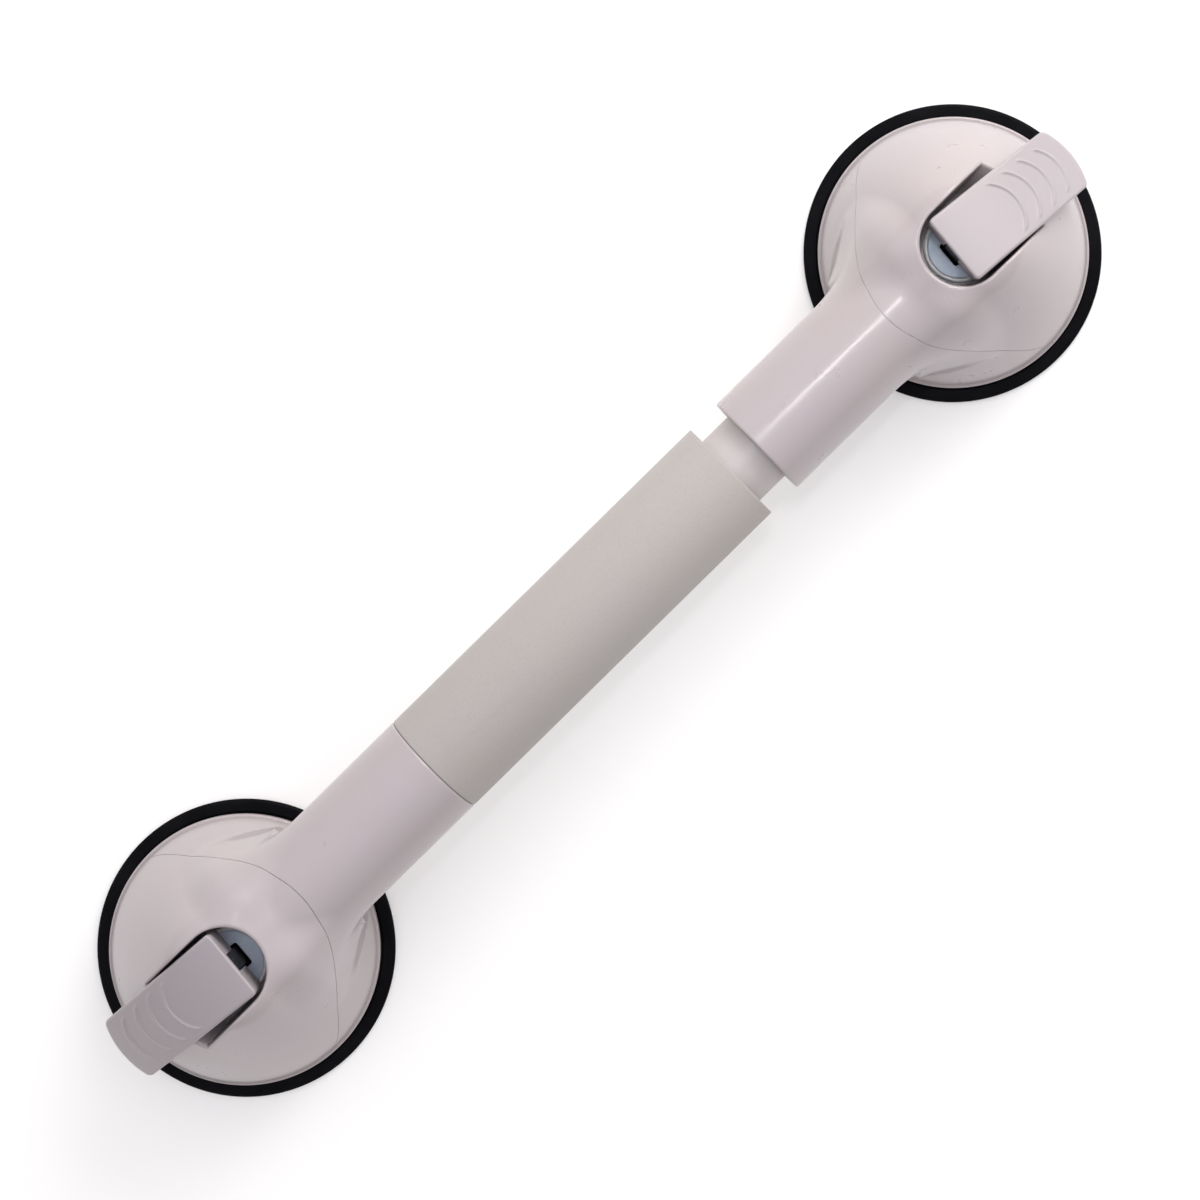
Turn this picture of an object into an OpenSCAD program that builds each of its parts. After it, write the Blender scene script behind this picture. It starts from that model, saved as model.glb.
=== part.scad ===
// Telescopic suction grab bar: two lever-operated suction heads joined by a
// round bar that slides in and out. Millimetres, +Z away from the wall,
// +X along the bar, origin on the wall plane midway between the two heads.

/* [Overall] */
// Distance between the centres of the two suction heads
head_spacing = 398.6; // [388:0.2:398.6]
// Height of the bar's axis above the wall
axis_h = 52; // [51:0.5:54]

/* [Suction cups] */
// Diameter of the rubber suction cup
cup_d = 120; // [116:1:126]
// Thickness of the cup's outer lip
lip_t = 3.2; // [2.6:0.1:3.4]

/* [Head shells] */
// Diameter of the flat rim that presses on the rubber
skirt_d = 108.8; // [107:0.2:110]
// Height of the flat top of the dome above the wall
hub_h = 80; // [79:0.5:81]
// Wall thickness of the dome
shell_t = 3; // [2.4:0.2:3.4]
// Distance from the head's centre to the mouth of its socket
socket_reach = 111.4; // [106:0.2:114]
// Half width of the pocket that the lever lies in
pocket_r = 17; // [16.8:0.1:17.4]

/* [Levers] */
// Width of the lever at its hub end
lever_w = 29.5; // [27:0.5:29.5]
// Width of the lever at its outer end
lever_tip_w = 27.9; // [24:0.5:28]
// Radius of the lever's rounded outer end about the head's centre
lever_tip_r = 57.6; // [54:0.2:58]
// Angle that the lever lies at, seen from above, counter-clockwise positive
lever_yaw = -4.6; // [-4.6:0.2:4.6]
// Distance that the draw bar falls when the lever is raised by a right angle
stroke = 6; // [4:0.5:6]

/* [Bar] */
// Outer diameter of the sockets and the grip
grip_d = 45; // [44:0.5:46]
// Length of the grip sleeve
grip_len = 162; // [140:1:162]
// Outer diameter of the sliding inner tube
inner_tube_d = 32; // [31:0.2:32]
// Outer diameter of the outer tube
outer_tube_d = 38; // [37.6:0.2:39]

/* [Hidden] */
$fn = 96;

hx = head_spacing / 2;         // head centres lie at -hx and +hx
cup_r = cup_d / 2;
skirt_r = skirt_d / 2;
grip_r = grip_d / 2;
socket_r = outer_tube_d / 2 + 0.05;   // socket bore, a sliding fit on the tube
socket_depth = 50;
socket_end = socket_reach - socket_depth;

// Dome profile
base_z = 8.5;                  // underside of the dome, top of the flat rim
dome_r = skirt_r - 1.4;        // foot of the dome, leaving a narrow ledge
dome_steps = 6;                // straight pieces that make the dome's curved flank

// Seam between the head's body and its cap: a plane that leans towards the bar
seam_x = 41.7;
seam_slope = 1.474;
seam_deg = atan(seam_slope);
seam_top = axis_h + grip_r;    // height of the seam on top of the neck

// Lever and draw bar
floor_z = 46.5;                // floor of the pocket
washer_t = 2;
washer_r = 14;
washer_top = floor_z + washer_t;
ramp_x = -14.5;                // the pocket's floor rises from here towards the outer edge
ramp_rise = 0.8;
pin_z = 73.4;                  // the lever turns about this height
pin_r = 2.5;
bar_hx = 5;                    // half size of the draw bar along the lever
bar_hy = 3.8;                  // half size of the draw bar across the lever
slot_hx = 6.4;
slot_hy = 5.2;
hub_end = 6.5;                 // hub end of the lever, towards the bar
tip_bow = 30;                  // radius of the bow at the lever's outer end
lever_top = hub_h + 2;
// The lever's top falls away towards its outer end, a little at first and then more
function top_z(x) = lever_top - (hub_end - x) * 0.22 - (hub_end - x) * (hub_end - x) * 0.00701;

// Screw places in a head: x, y, height of the body's tower, height of the tower's foot
cap_screw_at = [[-31, 31, 12, 7], [-31, -31, 12, 7], [6, 39.5, 25, 7.9], [6, -39.5, 25, 7.9]];

// Bar
grip_x0 = -hx + socket_reach;
grip_x1 = grip_x0 + grip_len;
outer_x0 = -hx + socket_end + 0.4;
outer_x1 = grip_x1 - 2.1;
outer_ri = outer_tube_d / 2 - 2;
inner_r = inner_tube_d / 2;
inner_ri = inner_r - 2;
inner_x0 = -66;
inner_x1 = hx - socket_end - 0.4;
bush_x0 = outer_x1 - 24;

shell_c = [0.81, 0.77, 0.78];
steel_c = [0.66, 0.71, 0.78];
rubber_c = [0.09, 0.09, 0.11];
grip_c = [0.77, 0.74, 0.71];
tube_c = [0.79, 0.76, 0.75];

// Places a head's own parts: side -1 is the left head, +1 the right head.
// In a head's own frame +X points towards the bar.
module at_head(side) {
    translate([side * hx, 0, 0]) rotate([0, 0, side > 0 ? 180 : 0]) children();
}
// The lever's own frame, turned a little about the head's upright axis
module at_lever(side) { at_head(side) rotate([0, 0, lever_yaw]) children(); }

// A round bar along X
module rod_x(x0, x1, r, z = axis_h) {
    translate([x0, 0, z]) rotate([0, 90, 0]) cylinder(r = r, h = x1 - x0);
}
module tube_x(x0, x1, ro, ri, z = axis_h) {
    difference() { rod_x(x0, x1, ro, z); rod_x(x0 - 1, x1 + 1, ri, z); }
}

// ---- Head shells ----
// A smooth curve from a to d, pulled towards b and c
function bend(t, a, b, c, d) = pow(1 - t, 3) * a + 3 * t * pow(1 - t, 2) * b + 3 * t * t * (1 - t) * c + pow(t, 3) * d;
module dome_outer() {
    rotate_extrude()
        polygon(concat([[0, base_z], [dome_r, base_z]],
                [for (i = [0 : dome_steps]) bend(i / dome_steps, [dome_r, base_z + 1.1], [51.6, 22], [36.5, 54], [22.4, hub_h - 5.4])],
                [[20, hub_h - 2.3], [16.4, hub_h - 0.5], [12.5, hub_h], [0, hub_h]]));
}
module dome_cavity() {
    rotate_extrude()
        polygon(concat([[0, base_z - 8], [dome_r - shell_t, base_z - 8]],
                [for (i = [0 : dome_steps]) bend(i / dome_steps, [dome_r - shell_t, 10], [51.4 - shell_t, 22], [36.5 - shell_t, 52], [20.5, hub_h - 9.5])],
                [[0, hub_h - 8.7]]));
}
// Neck that widens into the dome, with straight cheeks under it
module neck_flare() {
    translate([10, 0, axis_h]) rotate([0, 90, 0]) cylinder(r1 = hub_h - axis_h, r2 = grip_r, h = 32);
    rod_x(41.9, 43.4, grip_r);
    translate([0, 0, base_z + 1.5]) linear_extrude(axis_h - base_z - 1.5)
        polygon([[12, 27.6], [42, grip_r], [43.3, grip_r - 0.4], [43.3, 0.4 - grip_r], [42, -grip_r], [12, -27.6]]);
}
module neck() { rod_x(43.3, socket_reach, grip_r); }
module head_outer() { dome_outer(); neck_flare(); neck(); }
module head_hollow() {
    dome_cavity();
    rod_x(20, socket_end + 1, outer_ri);
    rod_x(socket_end, socket_reach + 1, socket_r);
}
// Half space over the leaning seam plane
module above_seam() {
    translate([seam_x, 0, seam_top]) rotate([0, -seam_deg, 0])
        translate([-200, -100, 0]) cube([300, 200, 200]);
}
// U-shaped pocket, open towards the outer edge: its walls part a little and its floor rises outwards.
// low is how far its floor is set down, top is the height of its upper end
module pocket(r, low, top) {
    z0 = floor_z - low;
    difference() {
        translate([0, 0, z0]) linear_extrude(top - z0) union() {
            translate([0.7, 0]) circle(r = r);
            polygon([[0.7, r], [0.7, -r], [-70, -r - 1.5], [-70, r + 1.5]]);
        }
        translate([0, 40, 0]) rotate([90, 0, 0]) linear_extrude(80)
            polygon([[ramp_x, z0], [-75, z0 + (75 + ramp_x) * ramp_rise], [-75, z0 - 1], [ramp_x, z0 - 1]]);
    }
}
module screw_bosses() {
    for (p = cap_screw_at) translate([p[0], p[1], p[2]]) cylinder(r = 3.6, h = 60);
}
module head_cap_shape() {
    difference() {
        intersection() {
            union() {
                difference() { head_outer(); head_hollow(); }
                intersection() {
                    head_outer();
                    union() { pocket(pocket_r + 2.2, 3, hub_h + 5); screw_bosses(); }
                }
            }
            above_seam();
        }
        pocket(pocket_r, 0, hub_h + 20);
        rotate([0, 0, lever_yaw])
            translate([-slot_hx, -slot_hy, 0]) cube([2 * slot_hx, 2 * slot_hy, hub_h]);
        for (p = cap_screw_at) translate([p[0], p[1], p[2] - 1]) cylinder(r = 1.5, h = 12.5);
        // the body's hub and webs pass below the pocket's floor
        cylinder(r = 17.3, h = floor_z - 3);
    }
}
module rib(a) {
    rotate([0, 0, a]) rotate([90, 0, 0]) translate([0, 0, -1.1]) linear_extrude(2.2)
        polygon([[15, 24], [15, floor_z - 3.9], [30, floor_z - 3.9], [46, 11], [46, 6.8], [39, 6.8]]);
}
module head_body_shape() {
    difference() {
        union() {
            // dome and neck on the bar's side of the seam
            difference() {
                difference() { head_outer(); head_hollow(); }
                above_seam();
            }
            // flat rim and its flange
            rotate_extrude()
                polygon([[40, 6.4], [51.5, 6.4], [52.2, 4], [skirt_r - 0.4, 4], [skirt_r, 4.4],
                         [skirt_r, base_z - 0.4], [skirt_r - 0.4, base_z], [40, base_z]]);
            // hub that carries the pocket's floor
            difference() {
                translate([0, 0, 20]) cylinder(r = 17, h = floor_z - 23);
                cylinder(r = 11.5, h = 60);
            }
            for (a = [0, 52, 108, 180, 252, 308]) rib(a);
            for (p = cap_screw_at) translate([p[0], p[1], p[3]]) cylinder(r = 4.6, h = p[2] - p[3]);
        }
        for (p = cap_screw_at) {
            translate([p[0], p[1], 0]) cylinder(r = 1.7, h = p[2] + 1);
            translate([p[0], p[1], 0]) cylinder(r = 3.3, h = p[2] - 3);
        }
        // socket screw hole, countersunk from the wall side
        translate([95, 0, 20]) cylinder(r = 1.7, h = 16);
        translate([95, 0, axis_h - grip_r - 0.2]) cylinder(r1 = 3.4, r2 = 1.6, h = 1.9);
    }
}
module cap_screws_shape() {
    for (p = cap_screw_at) translate([p[0], p[1], 0]) {
        difference() {
            translate([0, 0, p[2] - 5.4]) cylinder(r = 3.1, h = 2.4);
            translate([-0.45, -2.2, p[2] - 5.5]) cube([0.9, 4.4, 1.3]);
            translate([-2.2, -0.45, p[2] - 5.5]) cube([4.4, 0.9, 1.3]);
        }
        translate([0, 0, p[2] - 3.2]) cylinder(r = 1.5, h = 13.7);
    }
}
module socket_screw_shape(depth) {
    translate([95, 0, axis_h - grip_r + 0.35]) difference() {
        union() {
            cylinder(r1 = 2.9, r2 = 1.4, h = 1.35);
            cylinder(r = 1.4, h = depth);
        }
        translate([-0.4, -1.9, -0.1]) cube([0.8, 3.8, 0.8]);
        translate([-1.9, -0.4, -0.1]) cube([3.8, 0.8, 0.8]);
    }
}

// ---- Clamping parts of a head ----
module washer_shape() {
    difference() {
        translate([0.2, 0, floor_z]) rotate_extrude()
            polygon([[0, 0], [washer_r - 0.2, 0], [washer_r, 0.3], [washer_r, washer_t - 0.5], [washer_r - 0.5, washer_t], [0, washer_t]]);
        translate([-slot_hx, -slot_hy, floor_z - 1]) cube([2 * slot_hx, 2 * slot_hy, washer_t + 2]);
    }
}
// Rubber cup as it sits when clamped: flat lip, centre drawn up off the wall
module cup_shape() {
    difference() {
        rotate_extrude($fn = 128)
            polygon([[46, 0], [cup_r - 0.5, 0], [cup_r, 0.5], [cup_r, lip_t - 0.9], [cup_r - 0.9, lip_t],
                     [55, lip_t + 0.3], [50, lip_t + 0.6], [44, lip_t + 1.3], [30, 9.2], [20, 13.2], [17, 14.6], [16.4, 17.6],
                     [0, 17.6], [0, 7], [12, 6.6], [30, 3.6]]);
        translate([0, 0, 10.3]) cylinder(r = 14.2, h = 2.9);
        translate([0, 0, 10.3]) cylinder(r = 7.2, h = 20);
    }
}
// Steel disc moulded into the rubber, with a threaded collar
module cup_core_shape() {
    difference() {
        union() {
            translate([0, 0, 10.5]) cylinder(r = 14, h = 2.5);
            translate([0, 0, 12.9]) cylinder(r = 7, h = 5.6);
        }
        translate([0, 0, 11.5]) cylinder(r = 4, h = 20);
    }
}
module draw_bar_shape() {
    difference() {
        union() {
            translate([0, 0, 11.5]) cylinder(r = 4, h = 8);
            translate([0, 0, 18.5]) cylinder(r = 6.6, h = 2.5);
            translate([-bar_hx, -bar_hy, 20.5]) cube([2 * bar_hx, 2 * bar_hy, pin_z - 20.5]);
            translate([0, bar_hy, pin_z]) rotate([90, 0, 0]) cylinder(r = bar_hx, h = 2 * bar_hy);
        }
        translate([0, bar_hy + 1, pin_z]) rotate([90, 0, 0]) cylinder(r = pin_r, h = 2 * bar_hy + 2);
    }
}
module lever_pin_shape() {
    translate([0, 13.6, pin_z]) rotate([90, 0, 0]) cylinder(r = pin_r, h = 27.2);
}
// Side view of the lever: hub at +X, outer end at -X
module lever_side() {
    polygon(concat([[hub_end - 0.45, lever_top - 0.9], [hub_end, lever_top - 2.1],
             [hub_end, 64], [5.9, 60], [4.2, 56], [1.2, 52.2], [-2.2, 49.8], [-5, washer_top + 0.3],
             [-14.6, washer_top + 0.3], [-24.5, 57.4], [-27.5, 60.1], [-31, 60], [-36, 51.6], [-41, 44.8], [-59, 32.2]],
             [for (x = [-59 : 6.4 : 5]) [x, top_z(x)]]));
}
module lever_plan() {
    intersection() {
        polygon([[hub_end, lever_w / 2 - 2], [hub_end - 0.7, lever_w / 2 - 0.7], [hub_end - 2, lever_w / 2],
                 [-60, lever_tip_w / 2], [-60, -lever_tip_w / 2],
                 [hub_end - 2, -lever_w / 2], [hub_end - 0.7, 0.7 - lever_w / 2], [hub_end, 2 - lever_w / 2]]);
        union() {
            translate([tip_bow - lever_tip_r, 0]) circle(r = tip_bow);
            translate([tip_bow - lever_tip_r, -40]) square([80, 80]);
        }
    }
}
module lever_shape() {
    difference() {
        intersection() {
            rotate([90, 0, 0]) translate([0, 0, -16]) linear_extrude(32) lever_side();
            linear_extrude(100) lever_plan();
        }
        // room for the draw bar over its whole swing
        translate([-bar_hx - 0.3, -bar_hy - 0.3, 0]) cube([30, 2 * bar_hy + 0.6, pin_z]);
        translate([0, -bar_hy - 0.3, pin_z - 0.01]) cube([30, 2 * bar_hy + 0.6, bar_hx + 0.31]);
        translate([0, bar_hy + 0.3, pin_z]) rotate([90, 0, 0]) cylinder(r = bar_hx + 0.3, h = 2 * bar_hy + 0.6);
        // bore for the pin
        translate([0, 13.8, pin_z]) rotate([90, 0, 0]) cylinder(r = pin_r + 0.05, h = 27.6);
        // hollow underside of the handle
        rotate([90, 0, 0]) translate([0, 0, -10.9]) linear_extrude(21.8)
            polygon([[-14, 40], [-14, top_z(-14) - 3.8], [-31, top_z(-31) - 3.2], [-53.5, top_z(-53.5) - 3.6], [-53.5, 20]]);
        // weight-saving recesses beside the cam webs
        for (s = [-1, 1]) translate([-11, s * 9.6 - 2, 40]) cube([11.5, 4, 24]);
    }
}

// ---- Nodes: left head ----
module left_head_body() { color(shell_c) at_head(-1) head_body_shape(); }
module left_head_cap() { color(shell_c) at_head(-1) head_cap_shape(); }
module left_cap_screws() { color(steel_c) at_head(-1) cap_screws_shape(); }
module left_washer() { color(steel_c) at_lever(-1) washer_shape(); }
module left_cup() { color(rubber_c) at_head(-1) cup_shape(); }
module left_cup_core() { color(steel_c) at_head(-1) cup_core_shape(); }
module left_draw_bar() { color(steel_c) at_lever(-1) draw_bar_shape(); }
module left_lever_pin() { color(steel_c) at_lever(-1) lever_pin_shape(); }
module left_lever() { color(shell_c) at_lever(-1) lever_shape(); }
module left_socket_screw() { color(steel_c) at_head(-1) socket_screw_shape(5.0); }

// ---- Nodes: right head ----
module right_head_body() { color(shell_c) at_head(1) head_body_shape(); }
module right_head_cap() { color(shell_c) at_head(1) head_cap_shape(); }
module right_cap_screws() { color(steel_c) at_head(1) cap_screws_shape(); }
module right_washer() { color(steel_c) at_lever(1) washer_shape(); }
module right_cup() { color(rubber_c) at_head(1) cup_shape(); }
module right_cup_core() { color(steel_c) at_head(1) cup_core_shape(); }
module right_draw_bar() { color(steel_c) at_lever(1) draw_bar_shape(); }
module right_lever_pin() { color(steel_c) at_lever(1) lever_pin_shape(); }
module right_lever() { color(shell_c) at_lever(1) lever_shape(); }
module right_socket_screw() { color(steel_c) at_head(1) socket_screw_shape(7.9); }

// ---- Nodes: bar ----
module outer_tube() {
    color(tube_c) difference() {
        tube_x(outer_x0, outer_x1, outer_tube_d / 2, outer_ri);
        translate([-hx + 95, 0, axis_h - outer_tube_d / 2 - 1]) cylinder(r = 1.4, h = 10);
    }
}
module grip_sleeve() { color(grip_c) tube_x(grip_x0, grip_x1, grip_r, outer_tube_d / 2); }
module guide_bush() {
    color(tube_c) union() {
        tube_x(bush_x0, outer_x1, outer_ri, inner_r + 0.06);
        tube_x(outer_x1, outer_x1 + 1.4, outer_tube_d / 2, inner_r + 0.06);
    }
}
module inner_tube() {
    color(tube_c) difference() {
        tube_x(inner_x0, inner_x1, inner_r, inner_ri);
        translate([hx - 95, 0, axis_h - inner_r - 1]) cylinder(r = 1.4, h = 10);
    }
}
module tube_adapter() {
    color(tube_c) difference() {
        tube_x(hx - socket_reach + 0.9, inner_x1, outer_tube_d / 2, inner_r);
        translate([hx - 95, 0, axis_h - outer_tube_d / 2 - 1]) cylinder(r = 1.4, h = 10);
    }
}
module tube_end_cap() {
    color(tube_c) difference() {
        union() { rod_x(inner_x0, inner_x0 + 6, inner_ri); rod_x(inner_x0 - 1.5, inner_x0, inner_r - 0.1); }
        rod_x(inner_x0 - 3, inner_x0 + 8, 3.08);
    }
}
module slide_plug() {
    color(rubber_c) difference() {
        rod_x(inner_x0 - 9.6, inner_x0 - 1.8, outer_ri - 0.08);
        tube_x(inner_x0 - 7, inner_x0 - 4.4, outer_ri + 2, outer_ri - 2.2);
        rod_x(inner_x0 - 9, inner_x0, 2.5);
    }
}
module slide_plug_ring() {
    color(rubber_c) translate([inner_x0 - 5.7, 0, axis_h]) rotate([0, 90, 0])
        rotate_extrude() translate([outer_ri - 1.12, 0]) circle(r = 1.08, $fn = 32);
}
module slide_plug_screw() {
    color(steel_c) difference() {
        union() {
            rod_x(inner_x0 - 8.8, inner_x0 - 1.8, 2.5);
            rod_x(inner_x0 - 1.8, inner_x0 + 6.3, 3);
            rod_x(inner_x0 + 6.3, inner_x0 + 9.5, 5.5);
        }
        translate([inner_x0 + 8, -0.6, axis_h - 6]) cube([2, 1.2, 12]);
    }
}

left_head_body();
left_head_cap();
left_cap_screws();
left_washer();
left_cup();
left_cup_core();
left_draw_bar();
left_lever_pin();
left_lever();
left_socket_screw();
right_head_body();
right_head_cap();
right_cap_screws();
right_washer();
right_cup();
right_cup_core();
right_draw_bar();
right_lever_pin();
right_lever();
right_socket_screw();
outer_tube();
grip_sleeve();
guide_bush();
inner_tube();
tube_adapter();
tube_end_cap();
slide_plug();
slide_plug_ring();
slide_plug_screw();
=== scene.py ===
import math

import bmesh
import bpy
import numpy as np
from mathutils import Matrix, Vector


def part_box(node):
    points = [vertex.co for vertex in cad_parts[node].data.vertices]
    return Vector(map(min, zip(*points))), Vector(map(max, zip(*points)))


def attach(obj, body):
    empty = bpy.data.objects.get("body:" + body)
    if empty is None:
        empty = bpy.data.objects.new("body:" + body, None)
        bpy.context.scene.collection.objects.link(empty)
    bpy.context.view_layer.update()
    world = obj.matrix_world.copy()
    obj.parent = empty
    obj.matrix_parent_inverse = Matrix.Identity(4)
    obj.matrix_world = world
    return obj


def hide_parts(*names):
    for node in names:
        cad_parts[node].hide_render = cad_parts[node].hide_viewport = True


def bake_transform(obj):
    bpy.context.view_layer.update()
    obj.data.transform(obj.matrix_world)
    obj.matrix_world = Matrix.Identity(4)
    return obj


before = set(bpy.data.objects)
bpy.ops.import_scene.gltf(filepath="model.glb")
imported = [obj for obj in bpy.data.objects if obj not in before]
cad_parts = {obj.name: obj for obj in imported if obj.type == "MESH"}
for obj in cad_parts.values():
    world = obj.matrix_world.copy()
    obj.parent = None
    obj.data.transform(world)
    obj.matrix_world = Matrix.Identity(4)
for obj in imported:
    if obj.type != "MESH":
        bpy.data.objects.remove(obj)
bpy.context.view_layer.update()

MM = 0.001

# ------------------------------------------------------------------ places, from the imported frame
lo_l, hi_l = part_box("left_cup")
lo_r, hi_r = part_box("right_cup")
HX_L = (lo_l.x + hi_l.x) / 2
HX_R = (lo_r.x + hi_r.x) / 2
CUP_R = (hi_l.x - lo_l.x) / 2 / MM
gl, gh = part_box("grip_sleeve")
AXIS = (gl.z + gh.z) / 2 / MM            # height of the bar's axis, mm
GRIP_R = (gh.z - gl.z) / 2 / MM
GRIP_X = (gl.x / MM, gh.x / MM)
bl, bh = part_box("left_head_body")
REACH = (bh.x - HX_L) / MM               # mouth of the socket from the head's centre
SKIRT_R = (bh.y - bl.y) / 2 / MM
tl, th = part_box("inner_tube")
TUBE_R = (th.y - tl.y) / 2 / MM
TUBE_X = (tl.x / MM, th.x / MM)
ol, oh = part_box("outer_tube")
OUTER_R = (oh.y - ol.y) / 2 / MM
wl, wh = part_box("left_washer")
FLOOR_Z = wl.z / MM                      # floor of the lever's pocket
WASH_TOP = wh.z / MM
dl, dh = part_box("left_draw_bar")
PIN_Z = dh.z / MM - 5.0
ll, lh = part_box("left_lever")
LEVER_TOP = lh.z / MM
YAW = math.radians(-4.6)
SOCKET_END = REACH - 50.0
HUB_H = 80.0
TIP_R = 57.6

# ------------------------------------------------------------------ camera
CAM_X, CAM_Z = 0.0697, 1.503
cam_data = bpy.data.cameras.new("camera")
cam_data.sensor_width = 36
cam_data.lens = 111.9
cam_data.shift_x = -0.1025
cam_data.shift_y = -0.1008
cam_data.clip_start, cam_data.clip_end = 0.05, 20
cam = bpy.data.objects.new("camera", cam_data)
cam.location = (CAM_X, 0, CAM_Z)
cam.rotation_euler = (0, 0, math.radians(-44.53))
bpy.context.scene.collection.objects.link(cam)
bpy.context.scene.camera = cam


# ------------------------------------------------------------------ distance fields, in mm
def poly2(px, py, pts):
    """Signed distance to a closed polygon, negative inside."""
    d = np.full(px.shape, 1e18)
    s = np.ones(px.shape)
    n = len(pts)
    for i in range(n):
        ax, ay = pts[i]
        bx, by = pts[i - 1]
        ex, ey = bx - ax, by - ay
        wx, wy = px - ax, py - ay
        t = np.clip((wx * ex + wy * ey) / (ex * ex + ey * ey), 0, 1)
        dx, dy = wx - ex * t, wy - ey * t
        np.minimum(d, dx * dx + dy * dy, out=d)
        c1, c2, c3 = py >= ay, py < by, ex * wy > ey * wx
        flip = (c1 & c2 & c3) | (~c1 & ~c2 & ~c3)
        s[flip] *= -1
    return s * np.sqrt(d)


def rmax(a, b, r):
    """Intersection whose edge is rounded with radius r."""
    u, v = np.maximum(a + r, 0), np.maximum(b + r, 0)
    return np.minimum(np.maximum(a, b), -r) + np.sqrt(u * u + v * v)


def smin(a, b, k):
    """Union whose crease is filled over about k."""
    h = np.maximum(k - np.abs(a - b), 0) / k
    return np.minimum(a, b) - h * h * k * 0.25


def smoothstep(a, b, x):
    t = np.clip((x - a) / (b - a), 0, 1)
    return t * t * (3 - 2 * t)


def bezier(p0, p1, p2, p3, n):
    out = []
    for i in range(n + 1):
        t = i / n
        a, b, c, d = (1 - t) ** 3, 3 * t * (1 - t) ** 2, 3 * t * t * (1 - t), t ** 3
        out.append((a * p0[0] + b * p1[0] + c * p2[0] + d * p3[0], a * p0[1] + b * p1[1] + c * p2[1] + d * p3[1]))
    return out


def box2(x, y, hx, hy):
    dx, dy = np.abs(x) - hx, np.abs(y) - hy
    return np.minimum(np.maximum(dx, dy), 0) + np.hypot(np.maximum(dx, 0), np.maximum(dy, 0))


def gradient(f, p, e):
    g = np.empty_like(p)
    for a in range(3):
        q = p.copy()
        q[:, a] += e
        r = p.copy()
        r[:, a] -= e
        g[:, a] = f(q) - f(r)
    n = np.linalg.norm(g, axis=1)
    n[n < 1e-12] = 1
    return g / n[:, None]


def chunked(f, p, size=200000):
    if len(p) <= size:
        return f(p)
    return np.concatenate([f(p[i:i + size]) for i in range(0, len(p), size)])


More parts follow.
